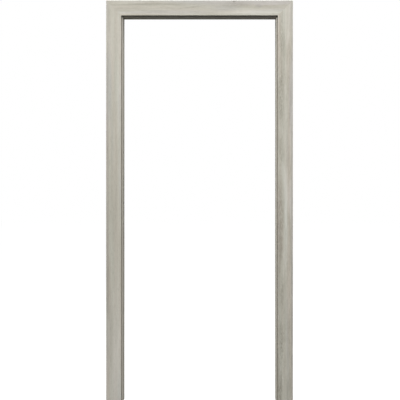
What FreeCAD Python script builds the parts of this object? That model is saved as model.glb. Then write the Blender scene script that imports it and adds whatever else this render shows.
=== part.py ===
"""Wrap-around door frame for one leaf: lining, front casing, sliding rear casing, seal and fittings.

The origin is the middle of the frame's depth and width at floor level. +X is to the right seen from the
front, +Y runs from the front casing to the rear casing, and +Z is up. All lengths are millimetres.

Every long board has one section, and the posts and the head share it. A section is drawn with two
measures: across, outwards from the rebate side, and depth, backwards from the front face.
"""
import FreeCAD
import Part
import math
import os

import Sketcher
from FreeCAD import Rotation, Vector

SIZES = [
    ("opening_width", 826, "between the rebate sides of the two posts"),
    ("opening_height", 2036, "from the floor to the rebate side of the head"),
    ("wall_thickness", 120, "wall between the casings when the rear casing is pushed home"),
    ("casing_width", 80, "front casing, from the rebate side to its outer edge"),
    ("casing_thickness", 16, "front casing board"),
    ("edge_width", 26, "thick inner edge of the front casing"),
    ("rebate_depth", 25, "from the front face to the stop face"),
    ("outer_round", 3, "rounding of the outer visible edges"),
    ("inner_round", 2, "rounding of the inner visible edges"),
    ("back_round", 1, "rounding of the edges that lie on the wall"),
    ("stop_step", 10, "how far the lining stands into the opening"),
    ("stop_round", 1.2, "rounding of the lining's front arris"),
    ("lining_thickness", 22, "lining board"),
    ("joint_tongue_thickness", 7, "tongue of the lining in the front casing"),
    ("joint_tongue_length", 10, "tongue of the lining in the front casing"),
    ("joint_tongue_inset", 0.5, "tongue, from the lining's back"),
    ("glue_gap", 0.1, "room for glue at each side of the joint tongue"),
    ("rear_width", 80, "rear casing board"),
    ("rear_thickness", 14, "rear casing board"),
    ("rear_setback", 4, "inner edge of the rear casing, behind the lining's face"),
    ("wall_strip", 46, "outer part of the rear casing, which lies on the wall"),
    ("wall_relief", 0.3, "relief between that part and the rear tongue"),
    ("slide_thickness", 6, "rear tongue that slides in the lining"),
    ("slide_reach", 48, "rear tongue, from the wall side of the rear casing"),
    ("slide_seat", 5, "rear tongue, let into the rear casing"),
    ("slide_lead", 1.5, "chamfer at the rear tongue's leading edge"),
    ("slide_gap", 0.3, "clearance of all that slides"),
    ("slide_end_gap", 1, "clearance at the bottom of the lining's rear groove"),
    ("seal_inset", 1, "seal groove, from the rebate side"),
    ("seal_groove_width", 3, "groove in the stop face"),
    ("seal_groove_depth", 7, "groove in the stop face"),
    ("seal_bulb", 7, "diameter of the hollow bulb"),
    ("seal_wall", 1, "wall of the bulb and thickness of its foot"),
    ("seal_clearance", 1.1, "between the bulb and the rebate side"),
    ("seal_stem", 1.4, "thickness of the anchor stem"),
    ("seal_stem_length", 6.2, "anchor stem"),
    ("seal_barb_gap", 0.1, "between a barb's tip and the groove's wall"),
    ("seal_barb_pitch", 2.2, "from one barb to the next"),
    ("bolt_offset", 6.75, "corner bolts, outside the rebate side"),
    ("bolt_rod", 6, "diameter of a corner bolt"),
    ("bolt_neck", 4, "diameter of its neck"),
    ("bolt_head", 6.4, "diameter of its head"),
    ("bolt_head_length", 3, "thickness of its head"),
    ("bolt_gap", 0.2, "radial clearance round a corner bolt"),
    ("cam_diameter", 15, "cam housing"),
    ("cam_height", 9.5, "cam housing"),
    ("cam_distance", 24, "from the corner to the cam's middle"),
    ("cam_recess", 1.2, "depth of the cross recess"),
    ("cam_recess_width", 1.6, "cross recess"),
    ("cam_recess_length", 7, "cross recess"),
    ("cam_start", 20, "first corner bolt, behind the stop face"),
    ("cam_spacing", 44, "from one corner bolt to the next"),
    ("key_arm", 60, "angle key, from its outer corner"),
    ("key_width", 12, "arm of an angle key"),
    ("key_thickness", 6, "angle key"),
    ("key_web", 8, "slanted web in the angle key's inner corner"),
    ("front_key_middle", 54, "middle of the front key's arm, outside the rebate side"),
    ("rear_key_middle", 44, "middle of the rear key's arm, outside the rebate side"),
    ("seat_gap", 0.2, "clearance of the fittings in their seats"),
    ("fitting_depth", 12, "middle of hinges and strike, behind the front face"),
    ("hinge_drop", 241, "upper hinge, below the rebate side of the head"),
    ("hinge_rise", 360, "lower hinge, above the floor"),
    ("hinge_skin", 4, "wood left in front of a hinge receiver"),
    ("receiver_height", 90, "hinge receiver"),
    ("receiver_width", 16, "hinge receiver"),
    ("flange_height", 120, "flange of a hinge receiver"),
    ("flange_thickness", 2, "flange of a hinge receiver"),
    ("flange_inset", 1, "flange, from the lining's back and from the casing's step"),
    ("socket_height", 42, "slot for the hinge flap"),
    ("socket_width", 10, "slot for the hinge flap"),
    ("socket_depth", 16, "slot in the receiver"),
    ("clamp_offset", 32, "clamp screw, above and below the receiver's middle"),
    ("clamp_diameter", 6, "clamp screw"),
    ("clamp_length", 12, "clamp screw"),
    ("clamp_gap", 0.1, "radial clearance round a clamp screw"),
    ("clamp_hex", 3, "hexagon socket, across its flats"),
    ("slot_margin", 2, "slot in the wood for flap and key, past the clamp screws"),
    ("strike_height", 1020, "middle of the strike plate above the floor"),
    ("strike_length", 170, "strike plate"),
    ("strike_width", 18, "strike plate"),
    ("strike_thickness", 2, "strike plate"),
    ("strike_round", 6, "corners of the strike plate"),
    ("latch_rise", 28, "latch hole, above the plate's middle"),
    ("latch_height", 37, "latch hole"),
    ("bolt_drop", 36, "lock bolt hole, below the plate's middle"),
    ("bolt_height", 30, "lock bolt hole"),
    ("latch_width", 13, "latch hole and lock bolt hole"),
    ("box_width", 17, "dust box behind the strike plate"),
    ("box_depth", 18, "dust box"),
    ("box_wall", 1.2, "dust box"),
    ("box_margin", 5, "dust box, past the holes in the plate"),
    ("strike_screw_offset", 76, "screw hole, above and below the plate's middle"),
    ("flange_screw_offset", 53, "screw hole, above and below the receiver's middle"),
    ("screw_hole", 4.2, "diameter of the holes for wood screws"),
]
HINGE_NAMES = ["top", "middle", "bottom"]
SIDE_SIGN = {"left": "-1", "right": "1"}
START, END, CENTRE = 1, 2, 3

doc = FreeCAD.newDocument("door_frame")
sheet = doc.addObject("Spreadsheet::Sheet", "Sizes")
for row, (alias, number, meaning) in enumerate(SIZES, start=1):
    sheet.set(f"A{row}", alias)
    sheet.set(f"B{row}", str(number))
    sheet.set(f"C{row}", meaning)
    sheet.setAlias(f"B{row}", alias)
doc.recompute()

# Places that several pieces share, as expressions over the sheet
REBATE_X = "Sizes.opening_width / 2"
FRONT_Y = "-(Sizes.casing_thickness + Sizes.wall_thickness + Sizes.rear_thickness) / 2"
LINING_BACK = "(Sizes.lining_thickness - Sizes.stop_step)"
WALL_BACK = "(Sizes.casing_thickness + Sizes.wall_thickness)"
FRAME_BACK = f"({WALL_BACK} + Sizes.rear_thickness)"
REAR_INNER = "(Sizes.rear_setback - Sizes.stop_step)"
REAR_OUTER = f"({REAR_INNER} + Sizes.rear_width)"
SLIDE_OUTER = f"({REAR_INNER} + Sizes.slide_thickness)"
SLIDE_TIP = f"({WALL_BACK} - Sizes.slide_reach)"
SLIDE_END = f"({WALL_BACK} + Sizes.slide_seat)"
SEAL_MIDDLE = "(-Sizes.seal_inset - Sizes.seal_groove_width / 2)"
BULB_MIDDLE = "(-Sizes.seal_clearance - Sizes.seal_bulb / 2)"
FLANGE_INNER = f"({LINING_BACK} + Sizes.flange_inset)"
FLANGE_MIDDLE = f"(({LINING_BACK} + Sizes.edge_width) / 2)"
FLANGE_WIDTH = f"(Sizes.edge_width - {LINING_BACK} - 2 * Sizes.flange_inset)"
FLANGE_FRONT = "(Sizes.rebate_depth - Sizes.flange_thickness)"
TONGUE_OUTER = f"({LINING_BACK} - Sizes.joint_tongue_inset)"
TONGUE_INNER = f"({TONGUE_OUTER} - Sizes.joint_tongue_thickness)"
CAM_FLOOR = f"({LINING_BACK} - Sizes.cam_height - Sizes.seat_gap)"
CAM_DROP = "(Sizes.cam_distance - Sizes.bolt_offset)"
BOLT_DEPTHS = [
    "(Sizes.rebate_depth + Sizes.cam_start)",
    "(Sizes.rebate_depth + Sizes.cam_start + Sizes.cam_spacing)",
]
HINGE_TOP = "(Sizes.opening_height - Sizes.hinge_drop)"
HINGE_HEIGHTS = [HINGE_TOP, f"(({HINGE_TOP} + Sizes.hinge_rise) / 2)", "Sizes.hinge_rise"]
LATCH_MIDDLE = "(Sizes.strike_height + Sizes.latch_rise)"
LOCK_MIDDLE = "(Sizes.strike_height - Sizes.bolt_drop)"
BOX_TOP = f"({LATCH_MIDDLE} + Sizes.latch_height / 2 + Sizes.box_margin)"
BOX_FOOT = f"({LOCK_MIDDLE} - Sizes.bolt_height / 2 - Sizes.box_margin)"
BOX_WEB = f"(({LATCH_MIDDLE} - Sizes.latch_height / 2 + {LOCK_MIDDLE} + Sizes.bolt_height / 2) / 2)"
BOX_BACK = "(Sizes.strike_thickness + Sizes.box_depth)"


def total(expression):
    """Return what an expression over the sheet comes to."""
    return float(sheet.evalExpression(expression))


def side_x(side, across):
    """Return the X of a place on one side of the frame."""
    return f"({SIDE_SIGN[side]} * ({REBATE_X} + {across}))"


def depth_y(depth):
    """Return the Y of a place behind the front face."""
    return f"({FRONT_Y} + {depth})"


def rise_z(across):
    """Return the Z of a place above the rebate side of the head."""
    return f"(Sizes.opening_height + {across})"


def section_point(member, across, depth):
    """Return a section point as the two coordinates of the sketch that the member is padded from."""
    if member == "head":
        return depth_y(depth), rise_z(across)
    return side_x(member, across), depth_y(depth)


def origin_plane(body, role):
    """Return one of a body's own origin planes."""
    return next(feature for feature in body.Origin.OriginFeatures if feature.Role == role)


def start_sketch(body, name, role, offset="0"):
    """Attach a new sketch to an origin plane, moved along its normal."""
    sketch = body.newObject("Sketcher::SketchObject", name)
    sketch.AttachmentSupport = [(origin_plane(body, role), "")]
    sketch.MapMode = "FlatFace"
    sketch.setExpression("AttachmentOffset.Base.z", offset)
    return sketch


def pin_point(sketch, geometry, corner, place, tag="at"):
    """Hold a sketch point at two expressions."""
    for axis, expression in zip(("DistanceX", "DistanceY"), place):
        index = sketch.addConstraint(Sketcher.Constraint(axis, geometry, corner, total(expression)))
        name = f"{axis.lower()}_{tag}_{geometry}"
        sketch.renameConstraint(index, name)
        sketch.setExpression(f"Constraints.{name}", expression)


def add_outline(sketch, points):
    """Draw a closed outline of straight edges through pairs of expressions."""
    first = sketch.GeometryCount
    places = [Vector(total(across), total(up), 0) for across, up in points]
    for start, end in zip(places, places[1:] + places[:1]):
        sketch.addGeometry(Part.LineSegment(start, end), False)
    for number, place in enumerate(points):
        edge = first + number
        following = first + (number + 1) % len(points)
        sketch.addConstraint(Sketcher.Constraint("Coincident", edge, END, following, START))
        pin_point(sketch, edge, START, place)


def add_path(sketch, points):
    """Draw straight runs, end to end, through pairs of expressions."""
    places = [Vector(total(across), total(up), 0) for across, up in points]
    for number, (start, end) in enumerate(zip(places, places[1:])):
        sketch.addGeometry(Part.LineSegment(start, end), False)
        pin_point(sketch, number, START, points[number])
        if number:
            sketch.addConstraint(Sketcher.Constraint("Coincident", number - 1, END, number, START))
    pin_point(sketch, len(points) - 2, END, points[-1], "end")


def add_circle(sketch, place, radius):
    """Draw a circle about a pair of expressions."""
    middle = Vector(total(place[0]), total(place[1]), 0)
    circle = sketch.addGeometry(Part.Circle(middle, Vector(0, 0, 1), total(radius)), False)
    pin_point(sketch, circle, CENTRE, place)
    index = sketch.addConstraint(Sketcher.Constraint("Radius", circle, total(radius)))
    name = f"circle_{circle}"
    sketch.renameConstraint(index, name)
    sketch.setExpression(f"Constraints.{name}", radius)


def add_rectangle(sketch, middle, width, height):
    """Draw an upright rectangle about a pair of expressions."""
    left, right = (f"({middle[0]} {sign} {width} / 2)" for sign in "-+")
    low, high = (f"({middle[1]} {sign} {height} / 2)" for sign in "-+")
    add_outline(sketch, [(left, low), (right, low), (right, high), (left, high)])


def add_pad(body, sketch, length, reverse=False, both_ways=False):
    """Pad a sketch along its normal, against it, or half each way."""
    feature = body.newObject("PartDesign::Pad", f"{sketch.Name}_pad")
    feature.Profile = sketch
    feature.setExpression("Length", length)
    feature.Reversed = reverse
    if both_ways:
        feature.SideType = "Symmetric"
    doc.recompute()
    return feature


def add_pocket(body, sketch, depth=None, reverse=False):
    """Cut a sketch to a depth against its normal, or along it, or right through both ways."""
    before = body.Shape.Volume
    feature = body.newObject("PartDesign::Pocket", f"{sketch.Name}_pocket")
    feature.Profile = sketch
    if depth is None:
        feature.Type = "ThroughAll"
        feature.SideType = "Symmetric"
    else:
        feature.setExpression("Length", depth)
        feature.Reversed = reverse
    doc.recompute()
    if not body.Shape.Volume < before:
        raise RuntimeError(f"{feature.Name} cuts nothing")
    return feature


def round_edges(body, base, edges, size, kind="Fillet"):
    """Round or chamfer the named edges of the body's last feature."""
    if not edges:
        raise RuntimeError(f"{body.Name} has no edge to round there")
    feature = body.newObject(f"PartDesign::{kind}", f"{body.Name}_{kind.lower()}")
    feature.Base = (base, edges)
    feature.setExpression("Radius" if kind == "Fillet" else "Size", size)
    doc.recompute()
    return feature


def edges_where(shape, test):
    """Return the names of the edges that pass a test."""
    return [f"Edge{number}" for number, edge in enumerate(shape.Edges, start=1) if test(edge)]


def edge_through(first, second, values):
    """Return a test for straight edges that keep the same two coordinates all along."""
    def test(edge):
        ends = [vertex.Point for vertex in edge.Vertexes]
        return len(ends) == 2 and all(
            math.isclose(end[axis], value, abs_tol=1e-6) for end in ends
            for axis, value in zip((first, second), values)
        )
    return test


def new_body(name):
    """Start a body whose label is the piece's name."""
    return doc.addObject("PartDesign::Body", name)


def pad_section(body, member, points, name="section"):
    """Pad a section along its post, or along the head."""
    role = "YZ_Plane" if member == "head" else "XY_Plane"
    sketch = start_sketch(body, f"{body.Name}_{name}", role)
    add_outline(sketch, [section_point(member, across, depth) for across, depth in points])
    return pad_member(body, member, sketch)


def pad_member(body, member, sketch):
    """Pad a sketch to the full length of the member, before its mitres are cut."""
    if member == "head":
        return add_pad(body, sketch, "Sizes.opening_width + 2 * Sizes.casing_width", both_ways=True)
    return add_pad(body, sketch, "Sizes.opening_height + Sizes.casing_width")


def round_long_edges(body, member, rounds):
    """Round the edges that run along a member, each given by its section point and its radius."""
    for across, depth, radius in rounds:
        values = [total(coordinate) for coordinate in section_point(member, across, depth)]
        first, second = (1, 2) if member == "head" else (0, 1)
        base = body.Tip
        edges = edges_where(base.Shape, edge_through(first, second, values))
        round_edges(body, base, edges, radius)


def cut_mitres(body, member):
    """Cut a post's upper end, or both ends of the head, along the planes through the corners."""
    sketch = start_sketch(body, f"{body.Name}_mitre", "XZ_Plane")
    low, high = "-Sizes.casing_width", "2 * Sizes.casing_width"
    for side in ["left", "right"] if member == "head" else [member]:
        near = (side_x(side, low), rise_z(low))
        far = (side_x(side, high), rise_z(high))
        waste = (side_x(side, high), rise_z(low)) if member == "head" else (side_x(side, low), rise_z(high))
        add_outline(sketch, [near, far, waste])
    return add_pocket(body, sketch)


def cut_outwards(body, side, name, start, depth, draw):
    """Cut what draw adds to a sketch, from a place across the post and away from the opening."""
    sketch = start_sketch(body, f"{body.Name}_{name}", "YZ_Plane", side_x(side, start))
    draw(sketch)
    return add_pocket(body, sketch, depth, reverse=side == "right")


def draw_rectangles(places, width, height):
    """Return a function that draws like rectangles at several places."""
    def draw(sketch):
        for place in places:
            add_rectangle(sketch, place, width, height)
    return draw


def draw_circles(places, radius):
    """Return a function that draws like circles at several places."""
    def draw(sketch):
        for place in places:
            add_circle(sketch, place, radius)
    return draw


def make_lining(member):
    """Make a lining board: stop face, joint tongue, rear groove, and bores for the corner fittings."""
    body = new_body(f"lining_{member}")
    inner = "-Sizes.stop_step"
    end = f"({WALL_BACK} - Sizes.slide_gap)"
    groove_near = "(-Sizes.seal_inset)"
    groove_far = "(-Sizes.seal_inset - Sizes.seal_groove_width)"
    groove_floor = "(Sizes.rebate_depth + Sizes.seal_groove_depth)"
    tongue_tip = "(Sizes.rebate_depth - Sizes.joint_tongue_length)"
    slot_inner = f"({REAR_INNER} - Sizes.slide_gap)"
    slot_outer = f"({SLIDE_OUTER} + Sizes.slide_gap)"
    slot_floor = f"({SLIDE_TIP} - Sizes.slide_end_gap)"
    pad_section(body, member, [
        (inner, "Sizes.rebate_depth"),
        (groove_far, "Sizes.rebate_depth"),
        (groove_far, groove_floor),
        (groove_near, groove_floor),
        (groove_near, "Sizes.rebate_depth"),
        (TONGUE_INNER, "Sizes.rebate_depth"),
        (TONGUE_INNER, tongue_tip),
        (TONGUE_OUTER, tongue_tip),
        (TONGUE_OUTER, "Sizes.rebate_depth"),
        (LINING_BACK, "Sizes.rebate_depth"),
        (LINING_BACK, end),
        (slot_outer, end),
        (slot_outer, slot_floor),
        (slot_inner, slot_floor),
        (slot_inner, end),
        (inner, end),
    ])
    round_long_edges(body, member, [(inner, "Sizes.rebate_depth", "Sizes.stop_round")])
    cut_mitres(body, member)
    if member == "head":
        bore_head_corners(body)
        return body
    bore_post_corner(body, member)
    if member == "left":
        notches = [(height, "(Sizes.receiver_height + 2 * Sizes.seat_gap)") for height in HINGE_HEIGHTS]
    else:
        middle = f"(({BOX_TOP} + {BOX_FOOT}) / 2)"
        notches = [(middle, f"({BOX_TOP} - {BOX_FOOT} + 2 * Sizes.seat_gap)")]
    notch_tongue(body, member, tongue_tip, notches)
    return body


def bore_post_corner(body, side):
    """Bore a post's lining for its two cams and for the bolts that run down into them."""
    cam_height = f"(Sizes.opening_height - {CAM_DROP})"
    cams = [(depth_y(depth), cam_height) for depth in BOLT_DEPTHS]
    cut_outwards(body, side, "cams", CAM_FLOOR, f"{LINING_BACK} - {CAM_FLOOR}",
                 draw_circles(cams, "(Sizes.cam_diameter / 2 + Sizes.seat_gap)"))
    sketch = start_sketch(body, f"{body.Name}_bolts", "XY_Plane", cam_height)
    for depth in BOLT_DEPTHS:
        place = (side_x(side, "Sizes.bolt_offset"), depth_y(depth))
        add_circle(sketch, place, "(Sizes.bolt_rod / 2 + Sizes.bolt_gap)")
    add_pocket(body, sketch, "Sizes.cam_distance + Sizes.lining_thickness", reverse=True)


def bore_head_corners(body):
    """Bore both ends of the head's lining for the cams and for the bolts that run in from the corners."""
    sketch = start_sketch(body, f"{body.Name}_cams", "XY_Plane", rise_z(CAM_FLOOR))
    for side in SIDE_SIGN:
        for depth in BOLT_DEPTHS:
            place = (side_x(side, f"-{CAM_DROP}"), depth_y(depth))
            add_circle(sketch, place, "(Sizes.cam_diameter / 2 + Sizes.seat_gap)")
    add_pocket(body, sketch, f"{LINING_BACK} - {CAM_FLOOR}", reverse=True)
    bores = [(depth_y(depth), rise_z("Sizes.bolt_offset")) for depth in BOLT_DEPTHS]
    for side in SIDE_SIGN:
        length = "Sizes.cam_distance + Sizes.lining_thickness"
        cut_outwards(body, side, f"{side}_bolts", f"-{CAM_DROP}", length,
                     draw_circles(bores, "(Sizes.bolt_rod / 2 + Sizes.bolt_gap)"))


def notch_tongue(body, side, tongue_tip, notches):
    """Cut the joint tongue away where a hinge receiver or the dust box passes through it."""
    middle = f"(({TONGUE_INNER} + {TONGUE_OUTER}) / 2)"
    width = "(Sizes.joint_tongue_thickness + 2 * Sizes.seat_gap)"

    def draw(sketch):
        for height, length in notches:
            add_rectangle(sketch, (side_x(side, middle), height), width, length)

    cut_backwards(body, "notches", tongue_tip, "Sizes.joint_tongue_length", draw)


def make_front_casing(member):
    """Make a front casing board with its thick rebate edge and the groove for the lining's tongue."""
    body = new_body(f"front_casing_{member}")
    groove_outer = f"({TONGUE_OUTER} + Sizes.glue_gap)"
    groove_inner = f"({TONGUE_INNER} - Sizes.glue_gap)"
    groove_floor = "(Sizes.rebate_depth - Sizes.joint_tongue_length - Sizes.glue_gap)"
    pad_section(body, member, [
        ("0", "0"),
        ("Sizes.casing_width", "0"),
        ("Sizes.casing_width", "Sizes.casing_thickness"),
        ("Sizes.edge_width", "Sizes.casing_thickness"),
        ("Sizes.edge_width", "Sizes.rebate_depth"),
        (groove_outer, "Sizes.rebate_depth"),
        (groove_outer, groove_floor),
        (groove_inner, groove_floor),
        (groove_inner, "Sizes.rebate_depth"),
        ("0", "Sizes.rebate_depth"),
    ])
    round_long_edges(body, member, [
        ("Sizes.casing_width", "0", "Sizes.outer_round"),
        ("0", "0", "Sizes.inner_round"),
        ("Sizes.casing_width", "Sizes.casing_thickness", "Sizes.back_round"),
    ])
    cut_mitres(body, member)
    slot_floor = "(Sizes.casing_thickness - Sizes.key_thickness - Sizes.seat_gap)"
    cut_key_slots(body, member, "Sizes.front_key_middle", slot_floor)
    if member == "left":
        cut_hinge_seats(body)
    if member == "right":
        cut_strike_seat(body)
    return body


def make_rear_casing(member):
    """Make a rear casing board, rebated at its inner edge for the sliding tongue and relieved beside it."""
    body = new_body(f"rear_casing_{member}")
    relief_floor = f"({WALL_BACK} + Sizes.wall_relief)"
    strip_inner = f"({REAR_OUTER} - Sizes.wall_strip)"
    pad_section(body, member, [
        (REAR_INNER, SLIDE_END),
        (SLIDE_OUTER, SLIDE_END),
        (SLIDE_OUTER, relief_floor),
        (strip_inner, relief_floor),
        (strip_inner, WALL_BACK),
        (REAR_OUTER, WALL_BACK),
        (REAR_OUTER, FRAME_BACK),
        (REAR_INNER, FRAME_BACK),
    ])
    round_long_edges(body, member, [
        (REAR_OUTER, FRAME_BACK, "Sizes.outer_round"),
        (REAR_INNER, FRAME_BACK, "Sizes.inner_round"),
        (REAR_OUTER, WALL_BACK, "Sizes.back_round"),
    ])
    cut_mitres(body, member)
    cut_key_slots(body, member, "Sizes.rear_key_middle", WALL_BACK)
    return body


def make_rear_tongue(member):
    """Make a rear tongue, glued into the rear casing and free to slide in the lining."""
    body = new_body(f"rear_tongue_{member}")
    pad_section(body, member, [
        (REAR_INNER, f"({SLIDE_TIP} + Sizes.slide_lead)"),
        (f"({REAR_INNER} + Sizes.slide_lead)", SLIDE_TIP),
        (f"({SLIDE_OUTER} - Sizes.slide_lead)", SLIDE_TIP),
        (SLIDE_OUTER, f"({SLIDE_TIP} + Sizes.slide_lead)"),
        (SLIDE_OUTER, SLIDE_END),
        (REAR_INNER, SLIDE_END),
    ])
    cut_mitres(body, member)
    return body


def seal_anchor():
    """Return the outline of the seal's foot and of its stem with two barbs a side."""
    half_stem = "Sizes.seal_stem / 2"
    half_barb = "(Sizes.seal_groove_width / 2 - Sizes.seal_barb_gap)"
    flank = []
    for number in range(2):
        start = f"(Sizes.rebate_depth + (0.7 + {number}) * Sizes.seal_barb_pitch)"
        flank.append((half_stem, start))
        flank.append((half_barb, f"({start} + 0.2 * Sizes.seal_barb_pitch)"))
        flank.append((half_stem, f"({start} + 0.8 * Sizes.seal_barb_pitch)"))
    end = "(Sizes.rebate_depth + Sizes.seal_stem_length)"
    foot = "(Sizes.rebate_depth - Sizes.seal_wall)"
    foot_inner = f"({BULB_MIDDLE} - Sizes.seal_bulb / 2)"
    foot_outer = f"({BULB_MIDDLE} + Sizes.seal_bulb / 2)"
    outline = [(foot_inner, foot), (foot_outer, foot), (foot_outer, "Sizes.rebate_depth")]
    outline.append((f"({SEAL_MIDDLE} + {half_stem})", "Sizes.rebate_depth"))
    outline += [(f"({SEAL_MIDDLE} + {reach})", depth) for reach, depth in flank]
    outline.append((f"({SEAL_MIDDLE} + {half_stem})", end))
    outline.append((f"({SEAL_MIDDLE} - {half_stem})", end))
    outline += [(f"({SEAL_MIDDLE} - {reach})", depth) for reach, depth in reversed(flank)]
    outline.append((f"({SEAL_MIDDLE} - {half_stem})", "Sizes.rebate_depth"))
    outline.append((foot_inner, "Sizes.rebate_depth"))
    return outline


def make_gasket(member):
    """Make a seal: a hollow bulb on the stop face and a barbed stem in its groove."""
    body = new_body(f"gasket_{member}")
    pad_section(body, member, seal_anchor(), "anchor")
    role = "YZ_Plane" if member == "head" else "XY_Plane"
    middle = section_point(member, BULB_MIDDLE, "(Sizes.rebate_depth - Sizes.seal_bulb / 2)")
    bulb = start_sketch(body, f"{body.Name}_bulb", role)
    add_circle(bulb, middle, "Sizes.seal_bulb / 2")
    pad_member(body, member, bulb)
    hollow = start_sketch(body, f"{body.Name}_hollow", role)
    add_circle(hollow, middle, "Sizes.seal_bulb / 2 - Sizes.seal_wall")
    add_pocket(body, hollow)
    cut_mitres(body, member)
    return body


def key_outline(side, middle, growth="0"):
    """Return an angle key's outline in a corner, with the web across its inner corner."""
    outer = f"({middle} + Sizes.key_width / 2 + {growth})"
    inner = f"({middle} - Sizes.key_width / 2 - {growth})"
    end = f"({middle} + Sizes.key_width / 2 - Sizes.key_arm - {growth})"
    web = f"({inner} - Sizes.key_web)"
    corners = [(outer, outer), (outer, end), (inner, end), (inner, web)]
    corners += [(web, inner), (end, inner), (end, outer)]
    return [(side_x(side, across), rise_z(up)) for across, up in corners]


def cut_key_slots(body, member, middle, floor):
    """Cut the slots for the angle keys that hold a casing's mitres."""
    sketch = start_sketch(body, f"{body.Name}_key_slots", "XZ_Plane", f"-{depth_y(floor)}")
    for side in SIDE_SIGN if member == "head" else [member]:
        add_outline(sketch, key_outline(side, middle, "Sizes.seat_gap"))
    add_pocket(body, sketch, "Sizes.key_thickness + Sizes.seat_gap")


def make_key(name, side, middle, depth):
    """Make an angle key in its slot, with its outer face at the given depth."""
    body = new_body(f"{name}_{side}")
    sketch = start_sketch(body, f"{body.Name}_outline", "XZ_Plane", f"-{depth_y(depth)}")
    add_outline(sketch, key_outline(side, middle))
    add_pad(body, sketch, "Sizes.key_thickness", reverse=True)
    return body


def hinge_places(offset="0"):
    """Return the places on the left post's rebate side, at one offset from each hinge's middle."""
    return [(depth_y("Sizes.fitting_depth"), f"({height} + {offset})") for height in HINGE_HEIGHTS]


def both_ways(offset):
    """Return an offset upwards and the same downwards."""
    return [offset, f"(-{offset})"]


def cut_backwards(body, name, depth, length, draw):
    """Cut what draw adds to a sketch, from a place behind the front face and towards the back."""
    sketch = start_sketch(body, f"{body.Name}_{name}", "XZ_Plane", f"-{depth_y(depth)}")
    draw(sketch)
    return add_pocket(body, sketch, length)


def cut_hinge_seats(body):
    """Cut the left post's casing for the receivers, their flanges and their flap slots."""
    clearance = "2 * Sizes.seat_gap"
    cut_outwards(body, "left", "receiver_seats", "Sizes.hinge_skin", "Sizes.edge_width - Sizes.hinge_skin",
                 draw_rectangles(hinge_places(), f"(Sizes.receiver_width + {clearance})",
                                 f"(Sizes.receiver_height + {clearance})"))
    slot_height = "(2 * Sizes.clamp_offset + Sizes.clamp_diameter + 2 * Sizes.slot_margin)"
    cut_outwards(body, "left", "flap_slots", "0", "Sizes.hinge_skin",
                 draw_rectangles(hinge_places(), "Sizes.socket_width", slot_height))
    back_middle = "((Sizes.fitting_depth + Sizes.rebate_depth) / 2)"
    backs = [(depth_y(back_middle), height) for height in HINGE_HEIGHTS]
    back_start = f"({FLANGE_INNER} - Sizes.seat_gap)"
    cut_outwards(body, "left", "back_seats", back_start, f"Sizes.edge_width - {back_start}",
                 draw_rectangles(backs, "(Sizes.rebate_depth - Sizes.fitting_depth)",
                                 f"(Sizes.receiver_height + {clearance})"))
    flange_middle = side_x("left", f"(({back_start} + Sizes.edge_width) / 2)")
    flanges = [(flange_middle, height) for height in HINGE_HEIGHTS]
    cut_backwards(body, "flange_seats", FLANGE_FRONT, "Sizes.flange_thickness",
                  draw_rectangles(flanges, f"(Sizes.edge_width - {back_start})",
                                  f"(Sizes.flange_height + {clearance})"))


def cut_strike_seat(body):
    """Cut the right post's casing for the strike plate and the dust box."""
    clearance = "2 * Sizes.seat_gap"
    middle = (depth_y("Sizes.fitting_depth"), "Sizes.strike_height")
    plate = cut_outwards(body, "right", "plate_seat", "0", "Sizes.strike_thickness",
                         draw_rectangles([middle], f"(Sizes.strike_width + {clearance})",
                                         f"(Sizes.strike_length + {clearance})"))
    half_width = total("Sizes.strike_width / 2 + Sizes.seat_gap")
    half_length = total("Sizes.strike_length / 2 + Sizes.seat_gap")
    corners = plate_corners(plate.Shape, total(middle[0]), half_width, total(middle[1]), half_length)
    round_edges(body, plate, corners, "Sizes.strike_round")
    box_middle = (depth_y("Sizes.fitting_depth"), f"(({BOX_TOP} + {BOX_FOOT}) / 2)")
    cut_outwards(body, "right", "box_seat", "0", f"{BOX_BACK} + Sizes.seat_gap",
                 draw_rectangles([box_middle], f"(Sizes.box_width + {clearance})",
                                 f"({BOX_TOP} - {BOX_FOOT} + {clearance})"))


def plate_corners(shape, middle_y, half_width, middle_z, half_length):
    """Return the edges along X at the four corners of an upright rectangle."""
    names = []
    for across in (-half_width, half_width):
        for up in (-half_length, half_length):
            names += edges_where(shape, edge_through(1, 2, (middle_y + across, middle_z + up)))
    return names


def pad_outwards(body, side, name, start, length, draw):
    """Pad what draw adds to a sketch, from a place across the post and away from the opening."""
    sketch = start_sketch(body, f"{body.Name}_{name}", "YZ_Plane", side_x(side, start))
    draw(sketch)
    return add_pad(body, sketch, length, reverse=side == "left")


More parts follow.
